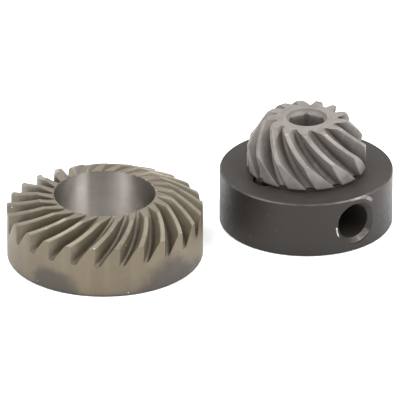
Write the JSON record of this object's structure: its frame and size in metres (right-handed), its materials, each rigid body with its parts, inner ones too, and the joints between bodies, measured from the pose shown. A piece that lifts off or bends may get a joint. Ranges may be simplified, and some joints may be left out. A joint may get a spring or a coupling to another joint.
{
  "type": "spiral bevel gear pair",
  "caption": "Ring gear and pinion with spiral bevel teeth for crossed shafts, the pinion seated in a round steel collar with a radial tapped hole.",
  "frame": {"origin": "the ring gear's bore axis, at its flat back face", "axes": "+Z along the ring gear's bore, from its back face to its teeth; +X from the ring gear to the pinion and its collar"},
  "size_m": [0.115, 0.056, 0.0323],
  "materials": {
    "ring_gear_steel": "machined steel with a brown oxide tint",
    "pinion_steel": "blasted grey steel",
    "collar_black_steel": "satin black oxide",
    "bush_bronze": "sintered bronze",
    "washer_steel": "dark hardened steel"
  },
  "bodies": {
    "collar_body": {"collar": "collar_black_steel", "pinion_bush": "bush_bronze", "thrust_washer": "washer_steel"},
    "ring_gear_body": {"ring_gear": "ring_gear_steel"},
    "pinion_body": {"pinion": "pinion_steel"}
  },
  "joints": [
    {"name": "ring_gear_spin", "type": "hinge", "parent": "collar_body", "child": "ring_gear_body", "pos_m": [0, 0, 0], "axis": [0, 0, 1], "continuous": true},
    {"name": "pinion_spin", "type": "hinge", "parent": "collar_body", "child": "pinion_body", "pos_m": [0.062, 0, 0], "axis": [0, 0, 1], "continuous": true}
  ],
  "couplings": [
    {"joint": "pinion_spin", "follows": "ring_gear_spin", "ratio": -1.9231}
  ]
}
